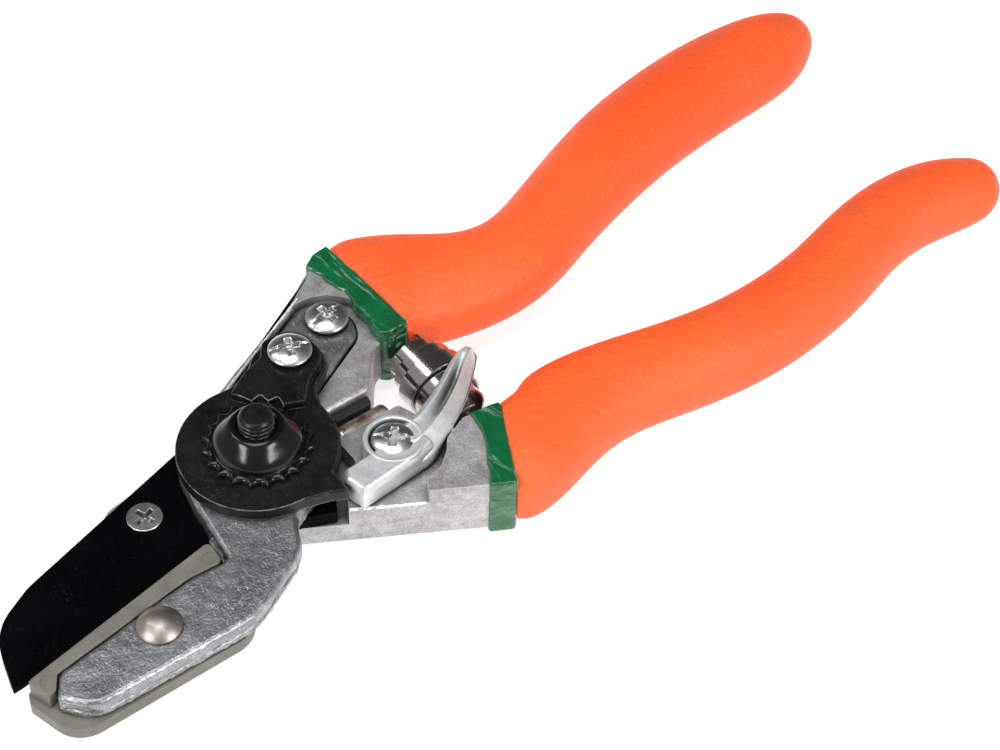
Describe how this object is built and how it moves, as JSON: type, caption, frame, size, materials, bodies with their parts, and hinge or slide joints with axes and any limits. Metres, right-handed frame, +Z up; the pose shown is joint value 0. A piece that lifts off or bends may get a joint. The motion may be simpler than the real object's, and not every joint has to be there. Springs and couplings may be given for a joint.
{
  "type": "pruning shears",
  "caption": "Hand pruning shears with a flat blade closing on a soft anvil, a volute spring, a thumb lock and two curved dipped grips.",
  "frame": {"origin": "pivot axis at the flat underside of the pivot bolt head, with the tool lying flat", "axes": "+X from the jaws to the handle ends, +Y to the handle that carries the anvil jaw, +Z up to the side of the nut"},
  "size_m": [0.2183, 0.0776, 0.0252],
  "materials": {
    "cast_alloy": "satin",
    "zinc_casting": "satin",
    "grip_vinyl": "matte",
    "green_vinyl": "gloss",
    "black_rubber": "matte",
    "anvil_plastic": "matte",
    "bright_steel": "satin",
    "zinc_steel": "gloss",
    "black_steel": "satin",
    "coated_blade": "satin"
  },
  "bodies": {
    "upper_handle": {"upper_handle_casting": "cast_alloy", "upper_grip": "grip_vinyl", "upper_band": "green_vinyl", "rubber_bumper": "black_rubber", "jaw_piece": "cast_alloy", "anvil": "anvil_plastic", "anvil_rivet": "bright_steel", "lock_plate": "black_steel", "nut_retainer": "black_steel", "pivot_nut": "black_steel", "pivot_bolt": "black_steel", "pivot_bush": "bright_steel", "thrust_washer": "bright_steel", "jaw_screw": "zinc_steel", "retainer_screw": "zinc_steel", "volute_spring": "bright_steel"},
    "lower_handle": {"lower_handle_casting": "cast_alloy", "lower_grip": "grip_vinyl", "lower_band": "green_vinyl", "bumper_pin": "bright_steel", "blade": "coated_blade", "blade_screw": "zinc_steel", "lock_screw": "zinc_steel", "lever_bush": "bright_steel"},
    "thumb_lock": {"lock_lever": "zinc_casting"}
  },
  "joints": [
    {"name": "pivot", "type": "hinge", "parent": "upper_handle", "child": "lower_handle", "pos_m": [0, 0, 0.0095], "axis": [0, 0, -1], "range_deg": [0, 22], "deforming": ["volute_spring"]},
    {"name": "thumb_lock_hinge", "type": "hinge", "parent": "lower_handle", "child": "thumb_lock", "pos_m": [0.0199, -0.0127, 0.0146], "axis": [0, 0, 1], "range_deg": [0, 46.3]}
  ],
  "couplings": [
    {"joint": "thumb_lock_hinge", "follows": "pivot", "ratio": 2.1}
  ]
}
